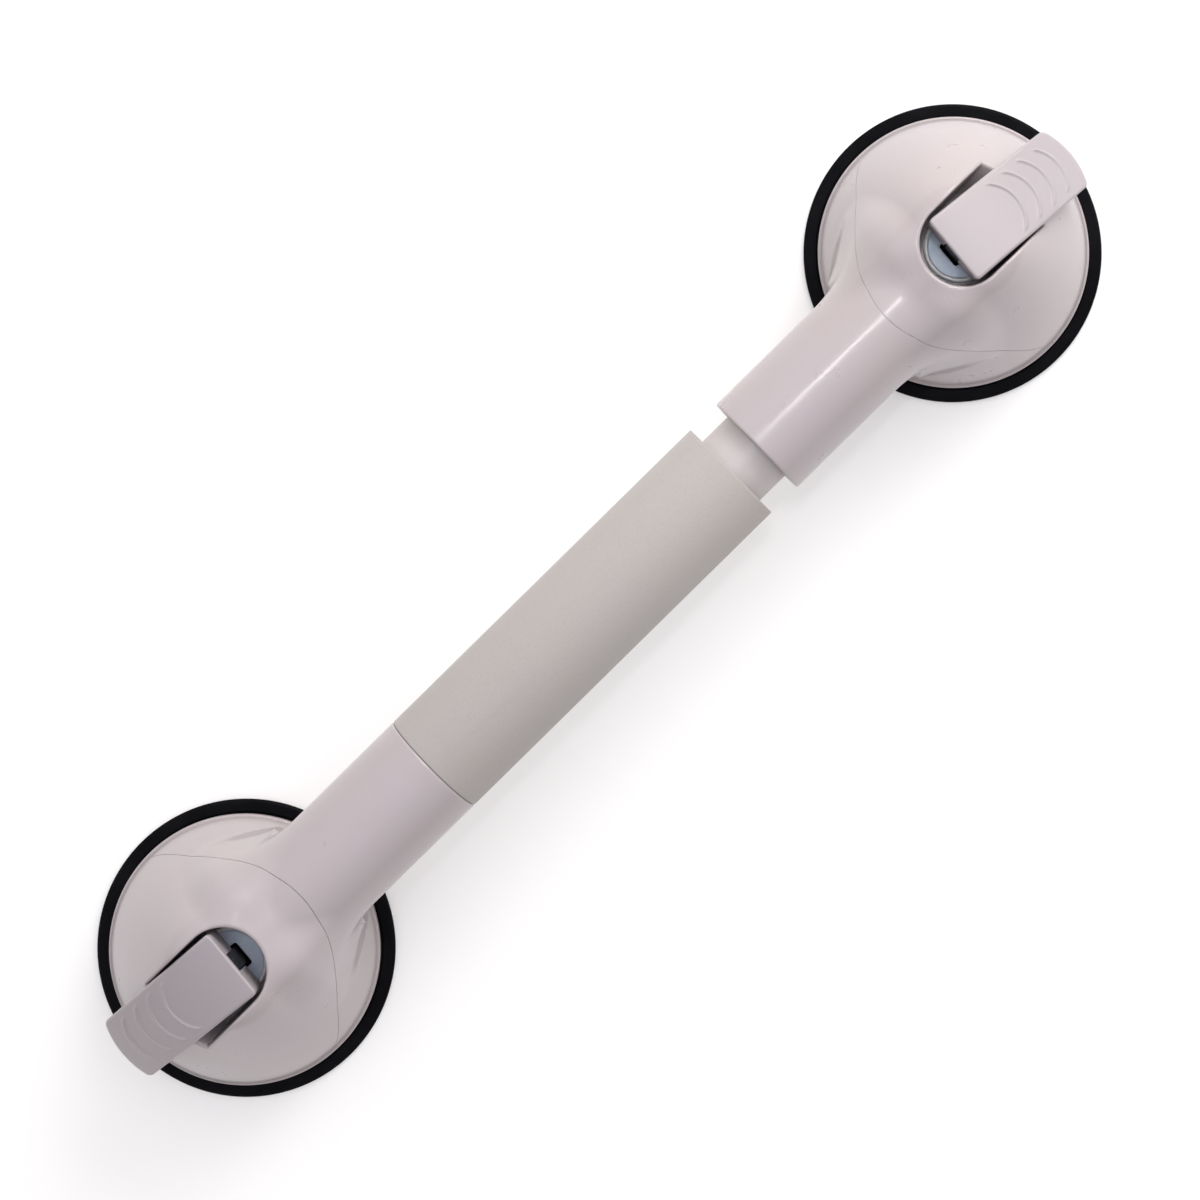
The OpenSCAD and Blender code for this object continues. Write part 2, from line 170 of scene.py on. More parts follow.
def mesh_field(f, lo, hi, h):
    """Quads on the surface f = 0, with a vertex on every crease, and a normal for each corner. Returns (vertices, quads, corner normals)."""
    lo, hi = np.array(lo, float), np.array(hi, float)
    B = 8
    nb = np.ceil((hi - lo) / h / B).astype(int)
    n = nb * B + 1
    lo = (lo + hi) / 2 - (n - 1) * h / 2 + 0.0137 * h
    # coarse pass: keep only the blocks that the surface can cross
    cx = [lo[a] + h * (np.arange(nb[a]) * B + B / 2) for a in range(3)]
    C = np.stack(np.meshgrid(*cx, indexing="ij"), -1).reshape(-1, 3)
    dc = chunked(f, C).reshape(nb)
    near = np.abs(dc) < B * h * 0.5 * math.sqrt(3) * 1.2 + h
    D = np.repeat(np.repeat(np.repeat(dc, B, 0), B, 1), B, 2)
    D = np.pad(D, ((0, 1),) * 3, mode="edge")
    D = np.where(D < 0, -9.0, 9.0)
    mask = np.zeros(tuple(n), bool)
    for i, j, k in np.argwhere(near):
        mask[i * B:i * B + B + 1, j * B:j * B + B + 1, k * B:k * B + B + 1] = True
    idx = np.argwhere(mask)
    D[mask] = chunked(f, lo + idx * h)
    D[0], D[-1], D[:, 0], D[:, -1], D[:, :, 0], D[:, :, -1] = (9.0,) * 6
    inside = D < 0
    # crossings on each axis
    E0, E1, AX = [], [], []
    for a in range(3):
        s0 = [slice(None)] * 3
        s1 = [slice(None)] * 3
        s0[a], s1[a] = slice(0, -1), slice(1, None)
        cross = inside[tuple(s0)] != inside[tuple(s1)]
        e = np.argwhere(cross)
        E0.append(e)
        e1 = e.copy()
        e1[:, a] += 1
        E1.append(e1)
        AX.append(np.full(len(e), a))
    e0, e1, ax = np.vstack(E0), np.vstack(E1), np.concatenate(AX)
    d0 = D[e0[:, 0], e0[:, 1], e0[:, 2]]
    d1 = D[e1[:, 0], e1[:, 1], e1[:, 2]]
    t = d0 / (d0 - d1)
    x = lo + (e0 + (e1 - e0) * t[:, None]) * h
    ee = 0.04 * h
    for _ in range(2):  # two secant steps along the edge
        dx = chunked(f, x)
        same = (dx < 0) == (d0 < 0)
        t0 = np.where(same, t, 0.0)
        d00 = np.where(same, dx, d0)
        t1 = np.where(same, 1.0, t)
        d11 = np.where(same, d1, dx)
        t = np.clip(t0 + (t1 - t0) * d00 / np.where(np.abs(d00 - d11) < 1e-12, 1e-12, d00 - d11), 0, 1)
        x = lo + (e0 + (e1 - e0) * t[:, None]) * h
    nrm = chunked(lambda p: gradient(f, p, ee), x)
    # the four cells round each crossing edge
    nc = n - 1
    cells = np.empty((len(e0), 4), np.int64)
    offs = {0: [(0, -1, -1), (0, 0, -1), (0, 0, 0), (0, -1, 0)],
            1: [(-1, 0, -1), (-1, 0, 0), (0, 0, 0), (0, 0, -1)],
            2: [(-1, -1, 0), (0, -1, 0), (0, 0, 0), (-1, 0, 0)]}
    for a in range(3):
        m = ax == a
        for k, o in enumerate(offs[a]):
            c = e0[m] + np.array(o)
            cells[m, k] = (c[:, 0] * nc[1] + c[:, 1]) * nc[2] + c[:, 2]
    uniq, inv = np.unique(cells.ravel(), return_inverse=True)
    inv = inv.reshape(cells.shape)
    m = len(uniq)
    cnt = np.bincount(inv.ravel(), minlength=m).astype(float)
    flat = inv.ravel()
    rep = np.repeat(np.arange(len(e0)), 4)
    mass = np.stack([np.bincount(flat, x[rep, a], m) for a in range(3)], 1) / cnt[:, None]
    nm = nrm[rep]
    b = np.einsum("ij,ij->i", nm, x[rep] - mass[flat])
    ATA = np.zeros((m, 3, 3))
    ATb = np.zeros((m, 3))
    for a in range(3):
        ATb[:, a] = np.bincount(flat, nm[:, a] * b, m)
        for c in range(a, 3):
            ATA[:, a, c] = ATA[:, c, a] = np.bincount(flat, nm[:, a] * nm[:, c], m)
    mean = np.stack([np.bincount(flat, nm[:, a], m) for a in range(3)], 1) / cnt[:, None]
    spread = 1 - np.linalg.norm(mean, axis=1)      # 0 on a flat stretch
    crease = spread > 0.05
    lam = np.where(crease, 0.02, 0.25)
    ATA += lam[:, None, None] * np.eye(3)
    off = np.linalg.solve(ATA, ATb[:, :, None])[:, :, 0]
    v = mass + off
    ci = np.stack([uniq // (nc[1] * nc[2]), (uniq // nc[2]) % nc[1], uniq % nc[2]], 1)
    cl = lo + ci * h
    v = np.clip(v, cl - 0.25 * h, cl + 1.25 * h)
    g = chunked(lambda p: gradient(f, p, ee), v)
    dv = chunked(f, v)
    v = v - np.clip(dv, -0.5 * h, 0.5 * h)[:, None] * g
    g = chunked(lambda p: gradient(f, p, ee), v)
    dv = chunked(f, v)
    v = v - np.clip(dv, -0.3 * h, 0.3 * h)[:, None] * g
    # faces, outward
    out = d0 < 0
    quads = np.where(out[:, None], inv, inv[:, ::-1])
    # corner normals: the field's own where it is smooth, each face's side where it has a crease
    cn = g[quads].copy()
    touch = crease[quads]
    if touch.any():
        cen = v[quads].mean(1)
        fi, ki = np.nonzero(touch)
        q = v[quads[fi, ki]] * 0.7 + cen[fi] * 0.3
        gn = chunked(lambda p: gradient(f, p, ee), q)
        dn = chunked(f, q)
        q2 = q - dn[:, None] * gn
        gn = chunked(lambda p: gradient(f, p, ee), q2)
        cn[fi, ki] = gn
    return v, quads, cn


def to_mesh(name, v, faces, normals=None, smooth=True):
    """A mesh from vertices in metres and faces of one size, or a list of faces."""
    me = bpy.data.meshes.new(name)
    if isinstance(faces, np.ndarray):
        nf, k = faces.shape
        me.vertices.add(len(v))
        me.vertices.foreach_set("co", np.asarray(v, np.float32).ravel())
        me.loops.add(nf * k)
        me.loops.foreach_set("vertex_index", faces.astype(np.int32).ravel())
        me.polygons.add(nf)
        me.polygons.foreach_set("loop_start", np.arange(nf, dtype=np.int32) * k)
        me.update(calc_edges=True)
    else:
        me.from_pydata([tuple(p) for p in v], [], faces)
    me.polygons.foreach_set("use_smooth", np.full(len(me.polygons), smooth))
    me.validate(verbose=False)
    if normals is not None and len(me.loops) == len(normals):
        me.normals_split_custom_set(normals.tolist())
    me.update()
    return me


def add(name, me, material, body, replaces=()):
    o = bpy.data.objects.new(name, me)
    bpy.context.scene.collection.objects.link(o)
    me.materials.append(material)
    if body:
        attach(o, body)
    if replaces:
        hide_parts(*replaces)
    return o


def field_piece(name, made, place, material, body, replaces=()):
    v, q, cn = made
    R = np.array(place.to_3x3())
    T = np.array(place.translation)
    w = (v * MM) @ R.T + T
    nn = cn.reshape(-1, 3) @ R.T
    return add(name, to_mesh(name, w, q, nn), material, body, replaces)


def lathe(name, profile, segs, place, material, body, replaces=(), sharp=32):
    """A closed ring of (radius, height) points in mm, counter-clockwise in the (radius, height) plane, turned about Z. Points on the axis make poles."""
    prof = [tuple(p) for p in profile]
    verts, rows = [], []
    ang = [2 * math.pi * i / segs for i in range(segs)]
    for r, z in prof:
        if r < 1e-6:
            rows.append([len(verts)] * segs)
            verts.append((0, 0, z))
        else:
            rows.append(list(range(len(verts), len(verts) + segs)))
            verts += [(r * math.cos(a), r * math.sin(a), z) for a in ang]
    faces = []
    n = len(prof)
    for i in range(n):
        a, b = rows[i], rows[(i + 1) % n]
        if prof[i][0] < 1e-6 and prof[(i + 1) % n][0] < 1e-6:
            continue
        for k in range(segs):
            l = (k + 1) % segs
            f = [a[k], a[l], b[l], b[k]]
            g = [x for j, x in enumerate(f) if x != f[j - 1]]
            if len(set(g)) >= 3:
                faces.append(g)
    M = place @ Matrix.Scale(MM, 4)
    me = to_mesh(name, [tuple(M @ Vector(p)) for p in verts], faces)
    bm = bmesh.new()
    bm.from_mesh(me)
    bmesh.ops.recalc_face_normals(bm, faces=bm.faces)
    if bm.calc_volume(signed=True) < 0:
        bmesh.ops.reverse_faces(bm, faces=bm.faces)
    bm.to_mesh(me)
    bm.free()
    me.set_sharp_from_angle(angle=math.radians(sharp))
    return add(name, me, material, body, replaces)


def rounded(points, n=4):
    """Rounds the corners of a closed outline of (x, y, radius) points."""
    out = []
    m = len(points)
    for i in range(m):
        x, y, r = points[i]
        if r <= 0:
            out.append((x, y))
            continue
        a = np.array(points[i - 1][:2]) - (x, y)
        b = np.array(points[(i + 1) % m][:2]) - (x, y)
        la, lb = np.linalg.norm(a), np.linalg.norm(b)
        a, b = a / la, b / lb
        half = math.acos(max(-1, min(1, float(a @ b)))) / 2
        cut = min(r / math.tan(half), la * 0.49, lb * 0.49)
        rr = cut * math.tan(half)
        c = np.array((x, y)) + (a + b) / np.linalg.norm(a + b) * rr / math.sin(half)
        p0 = np.array((x, y)) + a * cut
        p1 = np.array((x, y)) + b * cut
        t0 = math.atan2(*(p0 - c)[::-1])
        t1 = math.atan2(*(p1 - c)[::-1])
        dt = (t1 - t0 + math.pi) % (2 * math.pi) - math.pi
        for k in range(n + 1):
            t = t0 + dt * k / n
            out.append((c[0] + rr * math.cos(t), c[1] + rr * math.sin(t)))
    return out


# ------------------------------------------------------------------ the head's shells, in the head's own frame
BASE_Z = 8.5
DOME_R = SKIRT_R - 0.9
SHELL_T = 3.0
FLANK = np.array(bezier((DOME_R, 9.6), (51.6, 22), (36.5, 54), (22.4, 74.6), 60))
FLANK_Z = np.polyfit((FLANK[:, 1] - 42) / 40, FLANK[:, 0], 6)      # the flank's radius over its height, as one smooth curve
FLANK_SLOPE = np.polyder(FLANK_Z)
INNER = [(-6, 0.5), (SKIRT_R - 1.4 - SHELL_T, 0.5)] + bezier((SKIRT_R - 1.4 - SHELL_T, 10), (48.4, 22), (33.5, 52), (20.5, 70.5), 7) + [(-6, 71.3)]
SEAM_N = np.array([-1.474, 0, 1.0]) / math.hypot(1.474, 1)
SEAM_P = np.array([41.7, 0, AXIS + GRIP_R])
SCREWS = [(-31, 31, 12, 7), (-31, -31, 12, 7), (6, 39.5, 25, 7.9), (6, -39.5, 25, 7.9)]
POCKET_R, POCKET_X = 15.75, 0.7
RAMP_X, RAMP_RISE = -14.5, 0.8


def dome_field(p, prof):
    return poly2(np.hypot(p[:, 0], p[:, 1]), p[:, 2], prof)


def outer_field(p):
    x, y, z = p.T
    q = (np.clip(z, 4, 84) - 42) / 40
    slope = np.polyval(FLANK_SLOPE, q) / 40
    flank = (np.hypot(x, y) - np.polyval(FLANK_Z, q)) / np.sqrt(1 + slope * slope)
    dome = np.maximum(rmax(flank, z - HUB_H, 7.0), BASE_Z - z)
    # the neck widens smoothly where it runs into the dome, and has upright cheeks under its axis
    grow = np.clip(44 - x, 0, 30)
    wide = GRIP_R + 0.0055 * grow * grow * (1 - grow / 75) * smoothstep(12, 46, z)
    dy = y * GRIP_R / wide
    rod = np.hypot(dy, z - AXIS) - GRIP_R
    top = np.hypot(dy, np.maximum(z - AXIS, 0)) - GRIP_R
    cheek = np.maximum(top, np.maximum(BASE_Z + 1.5 - z, x - 43.3))
    d_neck = np.minimum(rod, cheek)
    d_neck = rmax(d_neck, 12 - x, 14.0)
    fade = smoothstep(-14, 24, x)
    k = 0.8 + smoothstep(9, 40, z) * fade * (8.0 + 15.0 * smoothstep(3, 20, np.abs(y)))
    d = smin(dome, d_neck, k)
    return rmax(d, x - REACH, 0.9)


def bore_field(p):
    x, y, z = p.T
    rho = np.hypot(y, z - AXIS)
    a = np.maximum(rho - (OUTER_R - 2), np.maximum(20 - x, x - SOCKET_END - 1))
    b = np.maximum(rho - (OUTER_R + 0.05), SOCKET_END - x)
    # a small bevel at the mouth
    c = np.maximum((rho - OUTER_R - 0.05 + (REACH - 0.5 - x)) / math.sqrt(2), REACH - 2 - x)
    return np.minimum(np.minimum(a, b), c)


def pocket_field(p, grow=0.0, low=0.0):
    """The lever's pocket: round at its inner end, with walls that part a little and a floor that rises outwards."""
    x, y, z = p.T
    r = POCKET_R + grow + np.maximum(z - FLOOR_Z, 0) * 0.03 + np.maximum(POCKET_X - x, 0) * 0.021
    d = np.hypot(np.maximum(x - POCKET_X, 0), y) - r
    flat = FLOOR_Z - low - z
    ramp = (flat + (RAMP_X - x) * RAMP_RISE) / math.hypot(1, RAMP_RISE)
    return rmax(d, -smin(-flat, -ramp, 3.0), 0.8)


def seam_field(p):
    return (p - SEAM_P) @ SEAM_N


def cyl_z(p, cx, cy, r, z0, z1):
    d = np.hypot(p[:, 0] - cx, p[:, 1] - cy) - r
    return np.maximum(d, np.maximum(z0 - p[:, 2], p[:, 2] - z1))


def cap_field(p):
    x, y, z = p.T
    outer = outer_field(p)
    shell = np.maximum(outer, -np.minimum(dome_field(p, INNER), bore_field(p)))
    add_ = pocket_field(p, 3.4, 3.0)
    for cx, cy, top, foot in SCREWS:
        add_ = np.minimum(add_, cyl_z(p, cx, cy, 3.6, top, 90))
    d = np.minimum(shell, np.maximum(outer, add_))
    d = rmax(d, 0.07 - seam_field(p), 0.12)
    d = rmax(d, -pocket_field(p), 1.7)
    c, s = math.cos(YAW), math.sin(YAW)
    u, w = x * c + y * s, -x * s + y * c
    d = np.maximum(d, -np.maximum(box2(u, w, 6.4, 5.2), z - HUB_H))
    for cx, cy, top, foot in SCREWS:
        d = np.maximum(d, -cyl_z(p, cx, cy, 1.5, top - 1, top + 11.5))
    d = np.maximum(d, -cyl_z(p, 0, 0, 17.3, 0, FLOOR_Z - 3))
    return d


RIM = rounded([(40, 6.4, 0), (51.5, 6.4, 0.3), (52.2, 4.0, 0.3), (SKIRT_R, 4.0, 0.5), (SKIRT_R, BASE_Z, 0.7), (40, BASE_Z, 0)], 3)
RIBS = [math.radians(a) for a in (0, 52, 108, 180, 252, 308)]
RIB = [(15, 24), (15, FLOOR_Z - 3.9), (30, FLOOR_Z - 3.9), (46, 11), (46, 6.8), (39, 6.8)]


def body_field(p):
    x, y, z = p.T
    shell = np.maximum(outer_field(p), -np.minimum(dome_field(p, INNER), bore_field(p)))
    d = rmax(shell, seam_field(p) + 0.07, 0.12)
    r = np.hypot(x, y)
    d = np.minimum(d, poly2(r, z, RIM))
    hub = np.maximum(np.abs(r - 14.25) - 2.75, np.maximum(20 - z, z - FLOOR_Z + 3))
    d = np.minimum(d, hub)
    for a in RIBS:
        u, w = x * math.cos(a) + y * math.sin(a), -x * math.sin(a) + y * math.cos(a)
        d = np.minimum(d, np.maximum(np.abs(w) - 1.1, poly2(u, z, RIB)))
    for cx, cy, top, foot in SCREWS:
        d = np.minimum(d, cyl_z(p, cx, cy, 4.6, foot, top))
    for cx, cy, top, foot in SCREWS:
        d = np.maximum(d, -np.minimum(cyl_z(p, cx, cy, 1.7, 0, top + 1), cyl_z(p, cx, cy, 3.3, 0, top - 3)))
    hole = cyl_z(p, 95, 0, 1.7, 20, 36)
    rr = np.hypot(x - 95, y)
    sink = np.maximum((rr - 3.4 + (z - AXIS + GRIP_R) * 0.95) * 0.72, z - AXIS + GRIP_R - 1.8)
    d = np.maximum(d, -np.minimum(hole, sink))
    return d


# ------------------------------------------------------------------ the lever, in its own frame
HUB_END = 6.5
LEVER_HW, LEVER_TIP_HW = 14.75, 13.95


def top_z(x):
    return LEVER_TOP - (HUB_END - x) * 0.22 - (HUB_END - x) ** 2 * 0.00701


SIDE = [(HUB_END, 64), (5.9, 60), (4.2, 56), (1.2, 52.2), (-2.2, 49.8), (-5, WASH_TOP + 0.3), (-14.6, WASH_TOP + 0.3), (-24.5, 57.4), (-27.5, 60.1),
        (-31, 60), (-36, 51.6), (-41, 44.8), (-59, 32.2),
        (-59, 95), (HUB_END, 95)]
HOLLOW = [(-14, 40), (-14, top_z(-14) - 3.8), (-31, top_z(-31) - 3.2), (-53.5, top_z(-53.5) - 3.6), (-53.5, 20)]
ARCS = [(-27.0, 11.4), (-34.8, 11.3), (-42.5, 11.1), (-50.2, 10.4)]
ARC_R = 15.0
TIP_ROUND = 30.0                 # the outer end is a shallow bow
TIP_X = TIP_R + 0.2 - TIP_ROUND


def lever_field(p):
    x, y, z = p.T
    tilt = 0.22 + 0.01402 * (HUB_END - x)
    top = (z - top_z(x)) / np.sqrt(1 + tilt * tilt)
    # raised arcs across the outer half
    lift = np.zeros(len(x))
    for xa, half in ARCS:
        dr = np.hypot(x - xa - ARC_R, y) - ARC_R
        on = (x < xa + ARC_R) * smoothstep(half + 0.9, half - 0.9, np.abs(y))
        lift = np.maximum(lift, np.exp(-(dr / 0.66) ** 2) * on)
    top = top - 0.70 * lift
    side = rmax(poly2(x, z, SIDE), top, 1.5)
    hw = LEVER_HW + (x - 4.5) * (LEVER_HW - LEVER_TIP_HW) / 64.5
    plan = rmax(np.abs(y) - hw, x - HUB_END, 2.4)
    plan = rmax(plan, np.hypot(np.minimum(x + TIP_X, 0), y) - TIP_ROUND, 1.8)
    d = rmax(side, plan, 1.25)
    # room for the draw bar over its swing
    a = np.maximum(np.abs(y) - 4.1, np.maximum(-5.3 - x, z - PIN_Z))
    b = np.maximum(np.abs(y) - 4.1, np.maximum(-x, np.maximum(PIN_Z - 0.01 - z, z - PIN_Z - 5.31)))
    c = np.maximum(np.abs(y) - 4.1, np.hypot(x, z - PIN_Z) - 5.3)
    d = np.maximum(d, -np.minimum(np.minimum(a, b), c))
    d = np.maximum(d, -np.maximum(np.hypot(x, z - PIN_Z) - 2.55, np.abs(y) - 13.8))
    d = np.maximum(d, -np.maximum(poly2(x, z, HOLLOW), np.abs(y) - 10.9))
    rec = np.maximum(box2(x + 5.25, np.abs(y) - 9.6, 5.75, 2.0), np.maximum(40 - z, z - 64))
    return np.maximum(d, -rec)


# ------------------------------------------------------------------ washer and draw bar, in the lever's frame
WR = (wh.y - wl.y) / 2 / MM
WX = (wl.x + wh.x) / 2 / MM - HX_L / MM
WASH = rounded([(-5, FLOOR_Z, 0), (WR, FLOOR_Z, 0.3), (WR, WASH_TOP, 0.6), (WR - 1.3, WASH_TOP, 0.5), (WR - 1.8, WASH_TOP - 0.35, 0.4), (-5, WASH_TOP - 0.35, 0)], 3)


def washer_field(p):
    x, y, z = p.T
    d = poly2(np.hypot(x - WX, y), z, WASH)
    slot = rmax(np.abs(x) - 6.4, np.abs(y) - 5.2, 1.0)
    return rmax(d, -slot, 0.3)


def bar_field(p):
    x, y, z = p.T
    flat = np.abs(y) - 3.8
    stem = np.maximum(rmax(np.abs(x) - 5, flat, 0.5), np.maximum(20.5 - z, z - PIN_Z))
    eye = rmax(np.hypot(x, z - PIN_Z) - 5, flat, 0.5)
    d = np.minimum(stem, eye)
    r = np.hypot(x, y)
    d = np.minimum(d, rmax(r - 4, np.maximum(11.5 - z, z - 19.5), 0.4))
    d = np.minimum(d, rmax(r - 6.6, np.maximum(18.5 - z, z - 21), 0.5))
    return np.maximum(d, -(np.hypot(x, z - PIN_Z) - 2.5))


# ------------------------------------------------------------------ materials
def new_material(name, base, rough, metallic=0.0, spec=0.5):
    m = bpy.data.materials.new(name)
    m.use_nodes = True
    nt = m.node_tree
    for n in list(nt.nodes):
        nt.nodes.remove(n)
    out = nt.nodes.new("ShaderNodeOutputMaterial")
    b = nt.nodes.new("ShaderNodeBsdfPrincipled")
    nt.links.new(b.outputs[0], out.inputs[0])
    b.inputs["Base Color"].default_value = (*base, 1)
    b.inputs["Roughness"].default_value = rough
    b.inputs["Metallic"].default_value = metallic
    b.inputs["Specular IOR Level"].default_value = spec
    m.diffuse_color = (*base, 1)
    return m, nt, b


def lin(r, g, b):
    f = lambda c: (c / 255 / 12.92) if c <= 10.31475 else ((c / 255 + 0.055) / 1.055) ** 2.4
    return (f(r), f(g), f(b))


def coords(nt, kind="Object"):
    return nt.nodes.new("ShaderNodeTexCoord").outputs[kind]


def noise(nt, vec, scale, detail=3.0, rough=0.5):
    n = nt.nodes.new("ShaderNodeTexNoise")
    n.inputs["Scale"].default_value = scale
    n.inputs["Detail"].default_value = detail
    n.inputs["Roughness"].default_value = rough
    nt.links.new(vec, n.inputs["Vector"])
    return n.outputs["Fac"]


def remap(nt, val, a, b, c, d):
    n = nt.nodes.new("ShaderNodeMapRange")
    for k, v in (("From Min", a), ("From Max", b), ("To Min", c), ("To Max", d)):
        n.inputs[k].default_value = v
    nt.links.new(val, n.inputs["Value"])
    return n.outputs["Result"]


def mix(nt, fac, c1, c2, blend="MIX"):
    n = nt.nodes.new("ShaderNodeMix")
    n.data_type = "RGBA"
    n.blend_type = blend
    ins = [s for s in n.inputs if s.enabled]
    for s, v in ((ins[0], fac), (ins[1], c1), (ins[2], c2)):
        if isinstance(v, (int, float)):
            s.default_value = v
        elif isinstance(v, tuple):
            s.default_value = (*v, 1)
        else:
            nt.links.new(v, s)
    return [s for s in n.outputs if s.enabled][0]


def bump(nt, b, height, strength, distance, normal=None):
    n = nt.nodes.new("ShaderNodeBump")
    n.inputs["Strength"].default_value = strength
    n.inputs["Distance"].default_value = distance
    nt.links.new(height, n.inputs["Height"])
    if normal is not None:
        nt.links.new(normal, n.inputs["Normal"])
    nt.links.new(n.outputs["Normal"], b.inputs["Normal"])
    return n.outputs["Normal"]


def plastic(name, base, warm, rough, spread, grain, coat=0.0, coat_rough=0.1, spec=0.5, grain_scale=1500):
    """Moulded plastic: faint clouding of colour, uneven gloss and a fine skin."""
    m, nt, b = new_material(name, base, rough, spec=spec)
    vec = coords(nt)
    cloud = noise(nt, vec, 22, 4.0, 0.55)
    speck = noise(nt, vec, 900, 2.0, 0.6)
    c = mix(nt, remap(nt, cloud, 0.3, 0.7, 0.0, 1.0), base, warm)
    dark = tuple(v * 0.955 for v in base)
    c = mix(nt, remap(nt, speck, 0.52, 0.72, 0.0, 0.16), c, dark)
    nt.links.new(c, b.inputs["Base Color"])
    hazy = noise(nt, vec, 60, 5.0, 0.6)
    nt.links.new(remap(nt, hazy, 0.3, 0.7, rough - spread, rough + spread), b.inputs["Roughness"])
    b.inputs["Coat Weight"].default_value = coat
    b.inputs["Coat Roughness"].default_value = coat_rough
    first = bump(nt, b, noise(nt, vec, grain_scale, 2.0, 0.5), grain, 0.00004)
    bump(nt, b, noise(nt, vec, 110, 1.0, 0.4), 0.05, 0.00012, first)
    return m


def metal(name, base, rough, line_scale=(1, 60, 1), line=0.25, metallic=1.0):
    m, nt, b = new_material(name, base, rough, metallic)
    vec = coords(nt)
    mp = nt.nodes.new("ShaderNodeMapping")
    mp.inputs["Scale"].default_value = line_scale
    nt.links.new(vec, mp.inputs["Vector"])
    streak = noise(nt, mp.outputs["Vector"], 120, 5.0, 0.65)
    patch = noise(nt, vec, 160, 4.0, 0.6)
    c = mix(nt, remap(nt, patch, 0.3, 0.7, 0.0, 1.0), tuple(v * 0.86 for v in base), tuple(min(1, v * 1.08) for v in base))
    nt.links.new(c, b.inputs["Base Color"])
    nt.links.new(remap(nt, streak, 0.25, 0.75, rough - 0.09, rough + 0.12), b.inputs["Roughness"])
    bump(nt, b, streak, line, 0.00005)
    return m


M_SHELL = plastic("shell_plastic", (0.368, 0.328, 0.338), (0.370, 0.325, 0.322), 0.30, 0.03, 0.03, coat=0.22, coat_rough=0.11)
M_LEVER = plastic("lever_plastic", (0.332, 0.302, 0.316), (0.336, 0.300, 0.304), 0.42, 0.05, 0.22)
M_TUBE = plastic("tube_plastic", (0.470, 0.435, 0.428), (0.478, 0.435, 0.412), 0.38, 0.05, 0.15)
M_INNER = plastic("inner_plastic", (0.33, 0.31, 0.29), (0.34, 0.31, 0.28), 0.5, 0.05, 0.2)
M_PLUG = plastic("plug_plastic", (0.055, 0.055, 0.06), (0.07, 0.065, 0.06), 0.55, 0.06, 0.25)


def grip_material():
    """Soft-touch sleeve: matt, with a fine pebbled skin and faint marks along it."""
    m, nt, b = new_material("grip_soft", (0.362, 0.338, 0.322), 0.72, spec=0.28)
    vec = coords(nt)
    cloud = noise(nt, vec, 14, 4.0, 0.6)
    c = mix(nt, remap(nt, cloud, 0.3, 0.7, 0.0, 1.0), (0.356, 0.336, 0.324), (0.370, 0.340, 0.316))
    v = nt.nodes.new("ShaderNodeTexVoronoi")
    v.inputs["Scale"].default_value = 1700
    nt.links.new(vec, v.inputs["Vector"])
    pit = remap(nt, v.outputs["Distance"], 0.0, 0.6, 0.0, 1.0)
    c = mix(nt, remap(nt, v.outputs["Distance"], 0.35, 0.75, 0.0, 0.5), c, (0.325, 0.302, 0.284))
    nt.links.new(c, b.inputs["Base Color"])
    nt.links.new(remap(nt, noise(nt, vec, 90, 4.0, 0.6), 0.3, 0.7, 0.66, 0.80), b.inputs["Roughness"])
    b.inputs["Sheen Weight"].default_value = 0.12
    b.inputs["Sheen Roughness"].default_value = 0.5
    first = bump(nt, b, pit, 0.30, 0.00006)
    bump(nt, b, noise(nt, vec, 260, 3.0, 0.5), 0.12, 0.0001, first)
    return m


def rubber_material(name, base, rough, rings=True, centre=0.0):
    """Moulded rubber: near black, a soft bloom in patches, and faint turned rings."""
    m, nt, b = new_material(name, base, rough, spec=0.035)
    vec = coords(nt)
    bloom = noise(nt, vec, 34, 5.0, 0.62)
    c = mix(nt, remap(nt, bloom, 0.42, 0.75, 0.0, 0.6), base, tuple(v * 1.9 + 0.004 for v in base))
    nt.links.new(c, b.inputs["Base Color"])
    nt.links.new(remap(nt, noise(nt, vec, 75, 4.0, 0.6), 0.3, 0.7, rough - 0.08, rough + 0.08), b.inputs["Roughness"])
    first = bump(nt, b, noise(nt, vec, 1300, 2.0, 0.5), 0.25, 0.00005)
    if rings:
        mp = nt.nodes.new("ShaderNodeMapping")
        mp.inputs["Location"].default_value = (-centre, 0, 0)
        nt.links.new(vec, mp.inputs["Vector"])
        w = nt.nodes.new("ShaderNodeTexWave")
        w.wave_type = "RINGS"
        w.rings_direction = "Z"
        w.inputs["Scale"].default_value = 260
        w.inputs["Distortion"].default_value = 0.0
        nt.links.new(mp.outputs["Vector"], w.inputs["Vector"])
        bump(nt, b, w.outputs["Fac"], 0.10, 0.00006, first)
    return m


M_GRIP = grip_material()
M_CUP_L = rubber_material("cup_rubber_left", (0.0026, 0.0026, 0.0036), 0.52, centre=HX_L)
M_CUP_R = rubber_material("cup_rubber_right", (0.0026, 0.0026, 0.0036), 0.52, centre=HX_R)
M_RING = rubber_material("ring_rubber", (0.011, 0.011, 0.012), 0.5, rings=False)


